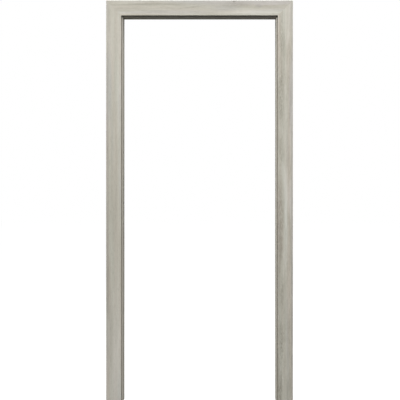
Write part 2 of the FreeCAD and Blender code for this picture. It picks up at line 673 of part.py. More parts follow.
def make_receiver(name, height):
    """Make a hinge receiver: a steel block with a flap socket and a flange on the casing's back."""
    body = new_body(f"hinge_receiver_{name}")
    middle = depth_y("Sizes.fitting_depth")
    pad_outwards(body, "left", "block", "Sizes.hinge_skin", "Sizes.edge_width - Sizes.hinge_skin",
                 draw_rectangles([(middle, "0")], "Sizes.receiver_width", "Sizes.receiver_height"))
    back_middle = depth_y("((Sizes.fitting_depth + Sizes.rebate_depth) / 2)")
    pad_outwards(body, "left", "back", FLANGE_INNER, FLANGE_WIDTH,
                 draw_rectangles([(back_middle, "0")], "(Sizes.rebate_depth - Sizes.fitting_depth)",
                                 "Sizes.receiver_height"))
    flange_middle = depth_y("(Sizes.rebate_depth - Sizes.flange_thickness / 2)")
    pad_outwards(body, "left", "flange", FLANGE_INNER, FLANGE_WIDTH,
                 draw_rectangles([(flange_middle, "0")], "Sizes.flange_thickness", "Sizes.flange_height"))
    cut_outwards(body, "left", "socket", "Sizes.hinge_skin", "Sizes.socket_depth",
                 draw_rectangles([(middle, "0")], "Sizes.socket_width", "Sizes.socket_height"))
    clamps = [(middle, offset) for offset in both_ways("Sizes.clamp_offset")]
    cut_outwards(body, "left", "clamp_holes", "Sizes.hinge_skin", "Sizes.clamp_length + Sizes.seat_gap",
                 draw_circles(clamps, "(Sizes.clamp_diameter / 2 + Sizes.clamp_gap)"))
    screws = [(side_x("left", FLANGE_MIDDLE), offset) for offset in both_ways("Sizes.flange_screw_offset")]
    cut_backwards(body, "screw_holes", FLANGE_FRONT, "Sizes.flange_thickness",
                  draw_circles(screws, "Sizes.screw_hole / 2"))
    body.setExpression("Placement.Base.z", height)
    return body


def make_strike_plate():
    """Make the strike plate, flush in the rebate side, with its latch hole and lock bolt hole."""
    body = new_body("strike_plate")
    middle_y = depth_y("Sizes.fitting_depth")
    plate = pad_outwards(body, "right", "blank", "0", "Sizes.strike_thickness",
                         draw_rectangles([(middle_y, "Sizes.strike_height")],
                                         "Sizes.strike_width", "Sizes.strike_length"))
    corners = plate_corners(plate.Shape, total(middle_y), total("Sizes.strike_width / 2"),
                            total("Sizes.strike_height"), total("Sizes.strike_length / 2"))
    round_edges(body, plate, corners, "Sizes.strike_round")
    cut_outwards(body, "right", "latch_hole", "0", "Sizes.strike_thickness",
                 draw_rectangles([(middle_y, LATCH_MIDDLE)], "Sizes.latch_width", "Sizes.latch_height"))
    cut_outwards(body, "right", "lock_hole", "0", "Sizes.strike_thickness",
                 draw_rectangles([(middle_y, LOCK_MIDDLE)], "Sizes.latch_width", "Sizes.bolt_height"))
    screws = [(middle_y, f"(Sizes.strike_height + {offset})")
              for offset in both_ways("Sizes.strike_screw_offset")]
    cut_outwards(body, "right", "screw_holes", "0", "Sizes.strike_thickness",
                 draw_circles(screws, "Sizes.screw_hole / 2"))
    return body


def make_strike_box():
    """Make the dust box behind the strike plate, with a web between latch and lock bolt."""
    body = new_body("strike_box")
    middle_y = depth_y("Sizes.fitting_depth")
    middle = (middle_y, f"(({BOX_TOP} + {BOX_FOOT}) / 2)")
    pad_outwards(body, "right", "shell", "Sizes.strike_thickness", "Sizes.box_depth",
                 draw_rectangles([middle], "Sizes.box_width", f"({BOX_TOP} - {BOX_FOOT})"))

    def draw_cavities(sketch):
        width = "(Sizes.box_width - 2 * Sizes.box_wall)"
        for low, high in (
            (f"({BOX_FOOT} + Sizes.box_wall)", f"({BOX_WEB} - Sizes.box_wall / 2)"),
            (f"({BOX_WEB} + Sizes.box_wall / 2)", f"({BOX_TOP} - Sizes.box_wall)"),
        ):
            add_rectangle(sketch, (middle_y, f"(({low} + {high}) / 2)"), width, f"({high} - {low})")

    cut_outwards(body, "right", "cavities", "Sizes.strike_thickness", "Sizes.box_depth - Sizes.box_wall",
                 draw_cavities)
    return body


def place_copies(name, source, places):
    """Group copies of one fitting, each at a place given by three expressions."""
    copies = []
    for number, place in enumerate(places, start=1):
        copy = doc.addObject("App::Link", f"{name}_{number}")
        copy.LinkedObject = source
        copy.LinkTransform = True
        for axis, expression in zip("xyz", place):
            copy.setExpression(f"Placement.Base.{axis}", expression)
        copies.append(copy)
    group = doc.addObject("Part::Compound", name)
    group.Links = copies
    doc.recompute()
    return group


def make_clamp_screw():
    """Make the headless clamp screw, with a hexagon socket that faces the opening."""
    rod = doc.addObject("Part::Cylinder", "clamp_rod")
    rod.setExpression("Radius", "Sizes.clamp_diameter / 2")
    rod.setExpression("Height", "Sizes.clamp_length")
    socket = doc.addObject("Part::Prism", "clamp_socket")
    socket.Polygon = 6
    socket.setExpression("Circumradius", "Sizes.clamp_hex / cos(30 deg) / 2")
    socket.setExpression("Height", "Sizes.clamp_hex")
    screw = doc.addObject("Part::Cut", "clamp_screw")
    screw.Base = rod
    screw.Tool = socket
    screw.Placement = FreeCAD.Placement(Vector(), Rotation(Vector(0, 1, 0), -90))
    doc.recompute()
    return screw


def make_cam():
    """Make a cam housing for a left post: its middle is the bolt's end, and the bolt enters from above."""
    body = new_body("cam_housing")
    outer = f"(Sizes.bolt_offset - {LINING_BACK})"
    cavity = "(Sizes.bolt_head + 2 * Sizes.bolt_gap)"
    drum = start_sketch(body, "cam_drum", "YZ_Plane", outer)
    add_circle(drum, ("0", "0"), "Sizes.cam_diameter / 2")
    add_pad(body, drum, "Sizes.cam_height")
    hollow = start_sketch(body, "cam_hollow", "YZ_Plane", f"-{cavity} / 2")
    add_rectangle(hollow, ("0", "0"), cavity, cavity)
    add_pocket(body, hollow, cavity, reverse=True)
    mouth = start_sketch(body, "cam_mouth", "YZ_Plane", f"-{cavity} / 2")
    width = "(Sizes.bolt_neck + 2 * Sizes.bolt_gap)"
    add_rectangle(mouth, ("0", "Sizes.cam_diameter / 4"), width, "Sizes.cam_diameter / 2")
    add_pocket(body, mouth, cavity, reverse=True)
    cross = start_sketch(body, "cam_cross", "YZ_Plane", outer)
    long_half, thin_half = "(Sizes.cam_recess_length / 2)", "(Sizes.cam_recess_width / 2)"
    quarter = [(thin_half, long_half), (thin_half, thin_half), (long_half, thin_half)]
    corners = []
    for turn in range(4):
        for across, up in quarter:
            corners.append(quarter_turns(across, up, turn))
    add_outline(cross, corners)
    add_pocket(body, cross, "Sizes.cam_recess", reverse=True)
    return body


def quarter_turns(across, up, count):
    """Turn a pair of expressions about the origin by quarter turns."""
    for _ in range(count):
        across, up = up, f"(-{across})"
    return across, up


def make_corner_bolt():
    """Make a corner bolt: two headed arms that meet at a right angle in the mitre."""
    body = new_body("corner_bolt")
    shoulder = "(Sizes.cam_distance - Sizes.cam_diameter / 2)"
    head_start = "(Sizes.cam_distance - Sizes.bolt_head_length / 2)"
    path = start_sketch(body, "bolt_path", "XZ_Plane")
    add_path(path, [("0", f"-{shoulder}"), ("0", "0"), (shoulder, "0")])
    section = start_sketch(body, "bolt_section", "XY_Plane", f"-{shoulder}")
    add_circle(section, ("0", "0"), "Sizes.bolt_rod / 2")
    rod = body.newObject("PartDesign::AdditivePipe", "bolt_rod")
    rod.Profile = section
    rod.Spine = (path, ["Edge1", "Edge2"])
    rod.Transition = "Right corner"
    doc.recompute()
    for role, sign, downwards in (("XY_Plane", "-", True), ("YZ_Plane", "", False)):
        neck = start_sketch(body, f"bolt_neck_{role}", role, f"{sign}{shoulder}")
        add_circle(neck, ("0", "0"), "Sizes.bolt_neck / 2")
        add_pad(body, neck, f"{head_start} - {shoulder}", reverse=downwards)
        head = start_sketch(body, f"bolt_head_{role}", role, f"{sign}{head_start}")
        add_circle(head, ("0", "0"), "Sizes.bolt_head / 2")
        add_pad(body, head, "Sizes.bolt_head_length", reverse=downwards)
    return body


def mirror_piece(name, source, normal, base=None):
    """Mirror a piece in a plane through the origin, or through a place given by three expressions."""
    mirror = doc.addObject("Part::Mirroring", name)
    mirror.Source = source
    mirror.Normal = normal
    for axis, expression in zip("xyz", base or ()):
        mirror.setExpression(f"Base.{axis}", expression)
    doc.recompute()
    return mirror


def make_corner_fittings():
    """Place the corner bolts and cams of the left corner, and mirror them to the right."""
    corner_x = side_x("left", "Sizes.bolt_offset")
    corner_z = rise_z("Sizes.bolt_offset")
    places = [(corner_x, depth_y(depth), corner_z) for depth in BOLT_DEPTHS]
    bolts = place_copies("corner_bolts_left", make_corner_bolt(), places)
    below = [(x, y, f"({z} - Sizes.cam_distance)") for x, y, z in places]
    post_cams = place_copies("post_cams", make_cam(), below)
    head_cams = mirror_piece("head_cams", post_cams, Vector(1, 0, 1), (corner_x, "0", corner_z))
    cams = doc.addObject("Part::Compound", "corner_cams_left")
    cams.Links = [post_cams, head_cams]
    doc.recompute()
    across = Vector(1, 0, 0)
    return [bolts, cams, mirror_piece("corner_bolts_right", bolts, across),
            mirror_piece("corner_cams_right", cams, across)]


def make_clamp_screws():
    """Place the clamp screws of the hinge receivers."""
    end_x = side_x("left", "Sizes.hinge_skin")
    places = [(end_x, y, z) for offset in both_ways("Sizes.clamp_offset") for y, z in hinge_places(offset)]
    return place_copies("hinge_clamp_screws", make_clamp_screw(), places)


def make_pieces():
    """Make every piece of the frame and return those that get a file."""
    pieces = []
    for make in (make_lining, make_front_casing, make_rear_casing, make_rear_tongue, make_gasket):
        pieces += [make(member) for member in ("left", "right", "head")]
    front_seat = "(Sizes.casing_thickness - Sizes.key_thickness)"
    for side in SIDE_SIGN:
        pieces.append(make_key("front_key", side, "Sizes.front_key_middle", front_seat))
        pieces.append(make_key("rear_key", side, "Sizes.rear_key_middle", WALL_BACK))
    for name, height in zip(HINGE_NAMES, HINGE_HEIGHTS):
        pieces.append(make_receiver(name, height))
    pieces += [make_strike_plate(), make_strike_box()]
    pieces += make_corner_fittings()
    pieces.append(make_clamp_screws())
    return pieces


def check_document(pieces):
    """Stop if any object failed, or if a piece has no sound solid."""
    for item in doc.Objects:
        if "Invalid" in item.State or "Error" in item.State:
            raise RuntimeError(f"{item.Label} failed: {item.State}")
    for piece in pieces:
        shape = piece.Shape
        if shape.isNull() or not shape.isValid() or not shape.Solids:
            raise RuntimeError(f"{piece.Label} has no sound solid")


def export_pieces(pieces):
    """Write each piece to its own file, named after it."""
    os.makedirs("parts", exist_ok=True)
    for piece in pieces:
        piece.Shape.exportStep(f"parts/{piece.Label}.step")
        print(f"{piece.Label}: {len(piece.Shape.Solids)} solid(s), {piece.Shape.Volume / 1000:.1f} cm3")


all_pieces = make_pieces()
doc.recompute()
check_document(all_pieces)
export_pieces(all_pieces)
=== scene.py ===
"""Finishes the wrap-around door frame: foiled boards, seal, hinge and strike fittings, and a plain stage.

Lengths are metres, in the frame's own axes: +X to the right seen from the front, +Y from the front casing to
the rear casing, +Z up. Two measures place a point in the section of a post or of the head: across, outwards
from the rebate side, and depth, backwards from the front face.
"""
import math
from typing import NamedTuple

import bmesh
import bpy
from bpy.props import FloatProperty, FloatVectorProperty, PointerProperty
from mathutils import Matrix, Vector


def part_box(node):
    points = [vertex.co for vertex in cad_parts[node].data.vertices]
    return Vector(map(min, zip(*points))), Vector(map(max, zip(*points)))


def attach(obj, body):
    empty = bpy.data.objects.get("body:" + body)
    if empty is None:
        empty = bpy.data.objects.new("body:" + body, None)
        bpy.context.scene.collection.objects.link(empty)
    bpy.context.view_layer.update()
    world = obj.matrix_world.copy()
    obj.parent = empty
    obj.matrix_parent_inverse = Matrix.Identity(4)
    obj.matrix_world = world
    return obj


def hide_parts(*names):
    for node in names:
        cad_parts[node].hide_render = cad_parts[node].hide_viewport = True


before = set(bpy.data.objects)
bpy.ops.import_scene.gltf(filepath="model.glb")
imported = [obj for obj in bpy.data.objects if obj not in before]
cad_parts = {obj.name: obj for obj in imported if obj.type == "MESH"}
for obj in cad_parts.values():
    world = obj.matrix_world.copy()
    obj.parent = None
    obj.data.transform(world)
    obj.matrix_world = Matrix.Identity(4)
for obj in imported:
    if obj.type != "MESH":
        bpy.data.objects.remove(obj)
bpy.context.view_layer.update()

bl_info = {
    "name": "Door frame finish",
    "version": (1, 0, 0),
    "blender": (4, 5, 0),
    "location": "3D View > Sidebar > Door frame",
    "description": "Gives a packed door frame its foiled boards, seal, fittings and stage",
    "category": "Object",
}

MEMBERS = ("left", "right", "head")
HINGES = ("top", "middle", "bottom")

# The three materials of a board, in the order of its slots.
FOIL, CORE, BACKING = 0, 1, 2

# Places in the members' section, taken from the frame.
CASING_LOW, CASING_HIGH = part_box("front_casing_right")
REBATE_X = CASING_LOW[0]
REBATE_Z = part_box("front_casing_head")[0][2]
FRONT_Y = CASING_LOW[1]
STOP_DEPTH = CASING_HIGH[1] - FRONT_Y
CASING_WIDTH = CASING_HIGH[0] - REBATE_X
LINING_LOW, LINING_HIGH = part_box("lining_right")
STOP_ACROSS = LINING_LOW[0] - REBATE_X
LINING_BACK = LINING_HIGH[0] - REBATE_X
REAR_LOW, REAR_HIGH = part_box("rear_casing_right")
REAR_INNER = REAR_LOW[0] - REBATE_X
REAR_OUTER = REAR_HIGH[0] - REBATE_X
REAR_FACE = REAR_HIGH[1] - FRONT_Y

# Bands beside the foiled faces, wide enough for their rounded edges: at a board's face, outer edge and step.
FACE_BAND = 0.003
EDGE_BAND = 0.0011
STEP_BAND = 0.0012

# A front casing's back lies deeper than this.
BOARD_DEPTH = 0.015

# Two places closer than this count as one.
NEAR = 0.0002

# Least share of a face's normal that points along the board at a cut, or to a side at a face that is rounded
# towards that side or square to it.
CUT = 0.3
ROUNDED = 0.2
SQUARE = 0.9

PLATE_SCREW_END = 0.009
FLANGE_SCREW_END = 0.007
FLANGE_SCREW_ACROSS = 0.019
SCREW_HOLE_RADIUS = 0.0021
SCREW_HEAD_RADIUS = 0.0033
SCREW_HEAD_DEPTH = 0.0018
SCREW_CORE_RADIUS = 0.0013
SCREW_THREAD_RADIUS = 0.0019
SCREW_PITCH = 0.0013
SCREW_TURNS = 11
SCREW_SIDES = 24
POINT_TAPER = 0.12
RECESS_HALF_SPAN = 0.0019
RECESS_DEPTH = 0.0012
RECESS_TAPER = 0.72
SEAT_WIDTH = 0.0013
SEAT_REACH = 1.1 * SCREW_HOLE_RADIUS
FIRST_SCREW_TURN = 0.7
NEXT_SCREW_TURN = 1.9

MERGE_DISTANCE = 2e-6
FLAT_ANGLE = math.radians(0.5)
SHARP_ANGLE = math.radians(35)
SMOOTH_ANGLE = math.radians(40)


class FrameLook(bpy.types.PropertyGroup):
    """Sizes and colours of the finish."""

    edge_round: FloatProperty(
        name="Edge rounding", description="Rounding of the boards' cut edges", default=0.00014, unit="LENGTH")
    fitting_round: FloatProperty(
        name="Fitting rounding", description="Rounding of the fittings' edges", default=0.0003, unit="LENGTH")
    oak_pale: FloatVectorProperty(
        name="Pale oak", description="Palest streaks of the foil", default=(0.640, 0.618, 0.562),
        subtype="COLOR")
    oak_middle: FloatVectorProperty(
        name="Middle oak", description="Ground colour of the foil", default=(0.494, 0.472, 0.410),
        subtype="COLOR")
    oak_dark: FloatVectorProperty(
        name="Dark oak", description="Darkest streaks of the foil", default=(0.320, 0.300, 0.254),
        subtype="COLOR")
    oak_pink: FloatVectorProperty(
        name="Pinkish tint", description="Warm tint over the foil", default=(1.0, 0.963, 0.945),
        subtype="COLOR")
    oak_green: FloatVectorProperty(
        name="Greenish tint", description="Cool tint over the foil", default=(0.960, 0.992, 0.975),
        subtype="COLOR")
    oak_grey: FloatVectorProperty(
        name="Greyish tint", description="Tint of the foil's grey areas", default=(0.982, 0.990, 1.062),
        subtype="COLOR")
    board_core: FloatVectorProperty(
        name="Board core", description="Cut edges of the fibreboard", default=(0.330, 0.235, 0.150),
        subtype="COLOR")
    backing: FloatVectorProperty(
        name="Backing paper", description="Paper on the back of the lining", default=(0.400, 0.340, 0.265),
        subtype="COLOR")
    seal: FloatVectorProperty(
        name="Seal", description="Grey-beige seal", default=(0.425, 0.402, 0.350), subtype="COLOR")
    zinc: FloatVectorProperty(
        name="Zinc plating", description="Receivers, bolts and screws", default=(0.58, 0.60, 0.62),
        subtype="COLOR")
    nickel: FloatVectorProperty(
        name="Satin nickel", description="Strike plate and its screws", default=(0.60, 0.585, 0.56),
        subtype="COLOR")
    cast_zinc: FloatVectorProperty(
        name="Cast zinc", description="Corner cams", default=(0.42, 0.43, 0.44), subtype="COLOR")
    nylon: FloatVectorProperty(
        name="Nylon", description="Angle keys", default=(0.020, 0.020, 0.021), subtype="COLOR")
    dust_box: FloatVectorProperty(
        name="Dust box", description="Moulded box behind the strike plate", default=(0.045, 0.046, 0.048),
        subtype="COLOR")
    key_round: FloatProperty(
        name="Key rounding", description="Rounding of the angle keys' edges", default=0.0006, unit="LENGTH")
    screw_round: FloatProperty(
        name="Clamp screw rounding", description="Rounding of the clamp screws' edges", default=0.0002,
        unit="LENGTH")
    key_light: FloatProperty(
        name="Key light", description="Power of the soft lamp above the camera", default=520.0, unit="POWER")
    back_light: FloatProperty(
        name="Back light", description="Power of the soft lamp behind the frame", default=420.0, unit="POWER")
    side_light: FloatProperty(
        name="Side light", description="Power of each soft lamp beside the frame", default=150.0,
        unit="POWER")
    sky_light: FloatProperty(
        name="Sky light", description="Strength of the light from above the horizon", default=0.48)
    low_light: FloatProperty(
        name="Low light", description="Strength of the light from below the horizon", default=0.06)


def look():
    """Return the scene's finish settings."""
    return bpy.context.scene.frame_look


def colour(name, red=1.0, green=1.0, blue=1.0):
    """Return one colour of the finish, with its channels scaled and full alpha."""
    base = getattr(look(), name)
    return base[0] * red, base[1] * green, base[2] * blue, 1.0


def section_of(member, place):
    """Return how far across and how deep a place is in a member's section."""
    outwards = place.z - REBATE_Z if member == "head" else abs(place.x) - REBATE_X
    return outwards, place.y - FRONT_Y


def turned_to(member, place, normal):
    """Return how far a normal points outwards, backwards and along a member."""
    if member == "head":
        return normal.z, normal.y, abs(normal.x)
    return math.copysign(normal.x, normal.x * place.x), normal.y, abs(normal.z)


def merged_copy(node):
    """Copy a CAD node's mesh, with its loose triangles joined and its flat faces whole."""
    mesh = bmesh.new()
    mesh.from_mesh(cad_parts[node].data)
    bmesh.ops.remove_doubles(mesh, verts=mesh.verts, dist=MERGE_DISTANCE)
    bmesh.ops.dissolve_limit(mesh, angle_limit=FLAT_ANGLE, verts=mesh.verts, edges=mesh.edges)
    return mesh


def sharp_chains(mesh):
    """Group the sharp edges of a mesh into chains that touch, in the order of the mesh."""
    sharp = [edge for edge in mesh.edges
             if len(edge.link_faces) == 2 and edge.calc_face_angle() > SHARP_ANGLE]
    waiting = set(sharp)
    chains = []
    for first in sharp:
        if first not in waiting:
            continue
        waiting.remove(first)
        chain = [first]
        for edge in chain:
            for vert in edge.verts:
                for near in vert.link_edges:
                    if near in waiting:
                        waiting.remove(near)
                        chain.append(near)
        chains.append(chain)
    return chains


def soften(mesh, size, hold_back=True):
    """Round the sharp edges of a mesh, each chain of them as far as its own faces allow or the whole way."""
    for chain in sharp_chains(mesh):
        bmesh.ops.bevel(mesh, geom=chain, offset=size, offset_type="OFFSET", affect="EDGES", segments=2,
                        profile=0.5, material=-1, clamp_overlap=hold_back)


def add_piece(name, mesh, materials, body, nodes=()):
    """Turn a mesh into a piece that rides on a body and may stand for CAD nodes."""
    data = bpy.data.meshes.new(name)
    mesh.to_mesh(data)
    mesh.free()
    for material in materials:
        data.materials.append(material)
    data.shade_smooth()
    data.set_sharp_from_angle(angle=SMOOTH_ANGLE)
    piece = bpy.data.objects.new(name, data)
    bpy.context.scene.collection.objects.link(piece)
    even = piece.modifiers.new("Even normals", "WEIGHTED_NORMAL")
    even.keep_sharp = True
    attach(piece, body)
    if nodes:
        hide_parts(*nodes)
    return piece


class Layer(NamedTuple):
    """A noise: its cells to the metre across and along the grain, and its kind.

    Strength is its share in a tone. A layer that shows only in places does so from low to high.
    """

    across: float
    along: float
    detail: float = 2.0
    roughness: float = 0.5
    distortion: float = 0.0
    strength: float = 0.0
    low: float = 0.0
    high: float = 1.0


# The oak foil's figure, from broad to fine.
BROAD = Layer(28, 0.9, 2, 0.5, 0.3, 0.55)
STREAKS = Layer(95, 1.7, 3, 0.55, 0.2, 0.50)
CLOUDS = Layer(75, 9, 3, 0.6, 0.4, 0.60)
FLECKS = Layer(260, 48, 3, 0.65, strength=0.30)
FIBRES = Layer(520, 8, 3, 0.6, strength=0.35)
HAIRS = Layer(1700, 15, 2, 0.6, strength=0.45)
FOIL_FIGURE = (BROAD, STREAKS, CLOUDS, FLECKS, FIBRES, HAIRS)
STREAKY = (STREAKS, CLOUDS)
RINGS = Layer(13, 0.75, 1, 0.4, 0.4, strength=0.06)
RING_COUNT = 62
RINGED_AREAS = Layer(7, 0.6, 1, low=0.45, high=0.62)
PORES = Layer(1900, 52, 1, strength=0.34, low=0.60, high=0.68)
OPEN_GRAIN = Layer(210, 62, 4, 0.65, low=0.30, high=0.66)
FOIL_TINT = Layer(48, 2.2, strength=2.2)
FOIL_GREY = Layer(36, 1.8, low=0.50, high=0.88)
FOIL_GROUND = 0.53
TINT_SHIFT = Vector((3, 1, 5))
GREY_SHIFT = Vector((9, 4, 2))

# The other materials' textures.
CHIPS = Layer(900, 900, 3, 0.6, strength=1.2)
PRESSED_LAYERS = Layer(160, 160, strength=0.8)
PAPER_CLOUDS = Layer(35, 12, 3, strength=1.0)
PAPER_FLECKS = Layer(1400, 500, strength=0.9)
SEAL_DRAG = Layer(900, 6, strength=0.8)
SEAL_BLOOM = Layer(60, 9, strength=0.8)
METAL_SHEEN = Layer(90, 70, 3, 0.6, strength=0.3, low=0.35, high=0.65)
BRUSHING_LENGTH = 40
BRUSHING_STRENGTH = 0.25
MOULD_GRAIN = Layer(1600, 1600)
MOULD_FLOW = Layer(45, 30)


class Shader:
    """A material whose nodes are added and linked by short calls."""

    def __init__(self, name):
        self.material = bpy.data.materials.new(name)
        self.material.use_nodes = True
        self.tree = self.material.node_tree
        self.surface = self.tree.nodes["Principled BSDF"]

    def add(self, kind, inputs=None, **settings):
        """Add a node. Its sockets take numbers, or outputs to link."""
        node = self.tree.nodes.new(kind)
        for name, value in settings.items():
            setattr(node, name, value)
        for name, value in (inputs or {}).items():
            self.feed(node.inputs[name], value)
        return node

    def feed(self, socket, value):
        """Give a socket a number, or link an output to it."""
        if isinstance(value, bpy.types.NodeSocket):
            self.tree.links.new(value, socket)
        else:
            socket.default_value = value

    def math(self, operation, first, second=0.0, clamp=False):
        """Add a sum and return its output."""
        node = self.add("ShaderNodeMath", {0: first, 1: second}, operation=operation, use_clamp=clamp)
        return node.outputs[0]

    def place(self, grain="z", scale=(1.0, 1.0, 1.0), shift=(0.0, 0.0, 0.0)):
        """Return object coordinates with their third axis along the grain."""
        here = self.add("ShaderNodeTexCoord").outputs["Object"]
        if grain == "x":
            parts = self.add("ShaderNodeSeparateXYZ", {0: here}).outputs
            here = self.add("ShaderNodeCombineXYZ", {"X": parts["Z"], "Y": parts["Y"], "Z": parts["X"]})
            here = here.outputs[0]
        moved = self.add("ShaderNodeVectorMath", {0: here, 1: shift}, operation="ADD").outputs[0]
        return self.add("ShaderNodeVectorMath", {0: moved, 1: scale}, operation="MULTIPLY").outputs[0]

    def noise(self, layer, grain="z", shift=(0.0, 0.0, 0.0)):
        """Return a layer's noise, on object coordinates that start at a shift."""
        place = self.place(grain, (layer.across, layer.across, layer.along), shift)
        node = self.add("ShaderNodeTexNoise", {"Vector": place, "Scale": 1.0, "Detail": layer.detail,
                                               "Roughness": layer.roughness, "Distortion": layer.distortion})
        return node.outputs["Fac"]

    def areas(self, layer, grain="z", shift=(0.0, 0.0, 0.0)):
        """Return where a layer shows, from nought at its low value to one at its high value."""
        return self.between(self.noise(layer, grain, shift), layer.low, layer.high)

    def centred(self, factor, strength):
        """Return a factor's departure from a half, times a strength."""
        return self.math("MULTIPLY", self.math("SUBTRACT", factor, 0.5), strength)

    def two_layers(self, first, second, clamp=False):
        """Return a tone round a half from two pairs of a layer and its noise."""
        total = self.math("ADD", *(self.centred(noise, layer.strength) for layer, noise in (first, second)))
        return self.math("ADD", 0.5, total, clamp=clamp)

    def between(self, factor, low, high):
        """Return how far a factor is from low to high, held within nought and one."""
        node = self.add("ShaderNodeMapRange", {"Value": factor, "From Min": low, "From Max": high},
                        interpolation_type="SMOOTHSTEP")
        return node.outputs["Result"]

    def blend(self, factor, first, second):
        """Return a mix of two colours."""
        node = self.add("ShaderNodeMix", {0: factor, 6: first, 7: second}, data_type="RGBA")
        return node.outputs[2]

    def tinted(self, first, second):
        """Return one colour times another."""
        node = self.add("ShaderNodeMix", {0: 1.0, 6: first, 7: second}, data_type="RGBA",
                        blend_type="MULTIPLY")
        return node.outputs[2]

    def bump(self, height, strength, distance):
        """Return normals that follow a height."""
        node = self.add("ShaderNodeBump", {"Height": height, "Strength": strength, "Distance": distance})
        return node.outputs["Normal"]

    def finish(self, **inputs):
        """Set the surface's own sockets, named in plain words, and return the material."""
        for name, value in inputs.items():
            self.feed(self.surface.inputs[name.replace("_", " ").title().replace("Ior", "IOR")], value)
        return self.material


class Mark(NamedTuple):
    """A soft long oval in the foil, in metres: the place of its middle, and how far it reaches each way.

    Across is X on a post and Z on the head, and along is the other of the two. Tone lightens or darkens the
    foil, warmth makes it pink, grey takes its yellow away, and patchy breaks the mark up into open grain.
    Tilt turns it, and reach is how deep it goes from the front face.
    """

    across: float
    along: float
    width: float
    length: float
    tone: float = 0.0
    warmth: float = 0.0
    grey: float = 0.0
    patchy: bool = False
    tilt: float = 0.0
    reach: float = 0.05


# A mark is at full strength where the oval's own falloff is above this.
MARK_PLATEAU = 0.8


def mark_mask(shader, grain, mark, patches):
    """Return how strongly a mark shows at a place."""
    moved = shader.add("ShaderNodeMapping", {
        "Vector": shader.place(grain), "Location": (mark.across, FRONT_Y, mark.along),
        "Rotation": (0.0, mark.tilt, 0.0), "Scale": (mark.width, mark.reach, mark.length),
    }, vector_type="TEXTURE")
    ball = shader.add("ShaderNodeTexGradient", {"Vector": moved.outputs[0]}, gradient_type="SPHERICAL")
    mask = shader.between(ball.outputs["Fac"], 0.0, MARK_PLATEAU)
    return shader.math("MULTIPLY", mask, patches) if mark.patchy else mask


def oak_foil(name, grain, shift, marks=(), streaking=1.0):
    """Make matt grey-beige oak foil with its grain along one axis, and with its board's marks."""
    shader = Shader(name)
    rings = shader.math("SINE", shader.math("MULTIPLY", shader.noise(RINGS, grain, shift), RING_COUNT))
    rings = shader.math("MULTIPLY", rings, shader.areas(RINGED_AREAS, grain, shift))
    rings = shader.math("MULTIPLY", rings, RINGS.strength)
    pores = shader.areas(PORES, grain, shift)
    tone = shader.math("SUBTRACT", shader.math("ADD", rings, FOIL_GROUND),
                       shader.math("MULTIPLY", pores, PORES.strength))
    figure = {layer: shader.noise(layer, grain, shift) for layer in FOIL_FIGURE}
    for layer, noise in figure.items():
        strength = layer.strength * (streaking if layer in STREAKY else 1.0)
        tone = shader.math("ADD", tone, shader.centred(noise, strength))
    warmth = shader.centred(shader.noise(FOIL_TINT, grain, shift + TINT_SHIFT), FOIL_TINT.strength)
    grey = shader.areas(FOIL_GREY, grain, shift + GREY_SHIFT)
    patches = shader.areas(OPEN_GRAIN, grain, shift)
    for mark in marks:
        mask = mark_mask(shader, grain, mark, patches)
        if mark.tone:
            tone = shader.math("ADD", tone, shader.math("MULTIPLY", mask, mark.tone))
        if mark.warmth:
            warmth = shader.math("ADD", warmth, shader.math("MULTIPLY", mask, mark.warmth))
        if mark.grey:
            grey = shader.math("ADD", grey, shader.math("MULTIPLY", mask, mark.grey))
    ramp = shader.add("ShaderNodeValToRGB", {"Fac": tone})
    stops = ramp.color_ramp.elements
    stops[0].position, stops[0].color = 0.0, colour("oak_dark")
    stops[1].position, stops[1].color = 1.0, colour("oak_pale")
    middle = stops.new(0.5)
    middle.color = colour("oak_middle")
    hue = shader.blend(shader.between(warmth, -1.0, 1.0), colour("oak_green"), colour("oak_pink"))
    base = shader.tinted(ramp.outputs["Color"], hue)
    base = shader.tinted(base, shader.blend(grey, (1, 1, 1, 1), colour("oak_grey")))
    rough = shader.math("ADD", 0.80, shader.centred(figure[FIBRES], 0.25))
    height = shader.math("SUBTRACT", shader.math("MULTIPLY", figure[FIBRES], 0.5), pores)
    return shader.finish(base_color=base, roughness=rough, specular_ior_level=0.05,
                         normal=shader.bump(height, 0.25, 0.00015))


def board_core(name):
    """Make the raw fibreboard of cut edges and grooves."""
    shader = Shader(name)
    chips = shader.noise(CHIPS)
    tone = shader.two_layers((CHIPS, chips), (PRESSED_LAYERS, shader.noise(PRESSED_LAYERS)), clamp=True)
    dark = colour("board_core", 0.70, 0.68, 0.64)
    pale = colour("board_core", 1.25, 1.25, 1.25)
    return shader.finish(base_color=shader.blend(tone, dark, pale), roughness=0.9, specular_ior_level=0.2,
                         normal=shader.bump(chips, 0.4, 0.0004))


def backing_paper(name):
    """Make the brown paper on the wall side of the boards."""
    shader = Shader(name)
    flecks = shader.noise(PAPER_FLECKS)
    tone = shader.two_layers((PAPER_CLOUDS, shader.noise(PAPER_CLOUDS)), (PAPER_FLECKS, flecks), clamp=True)
    dark = colour("backing", 0.82, 0.80, 0.78)
    return shader.finish(base_color=shader.blend(tone, dark, colour("backing")), roughness=0.8,
                         specular_ior_level=0.25, normal=shader.bump(flecks, 0.15, 0.0002))


def rubber(name):
    """Make the matt seal, with the faint bloom and drag lines of an extruded strip."""
    shader = Shader(name)
    drag = shader.noise(SEAL_DRAG)
    tone = shader.two_layers((SEAL_DRAG, drag), (SEAL_BLOOM, shader.noise(SEAL_BLOOM)))
    dull = colour("seal", 0.88, 0.88, 0.88)
    return shader.finish(base_color=shader.blend(tone, dull, colour("seal")), roughness=0.55,
                         specular_ior_level=0.4, normal=shader.bump(drag, 0.12, 0.0002))


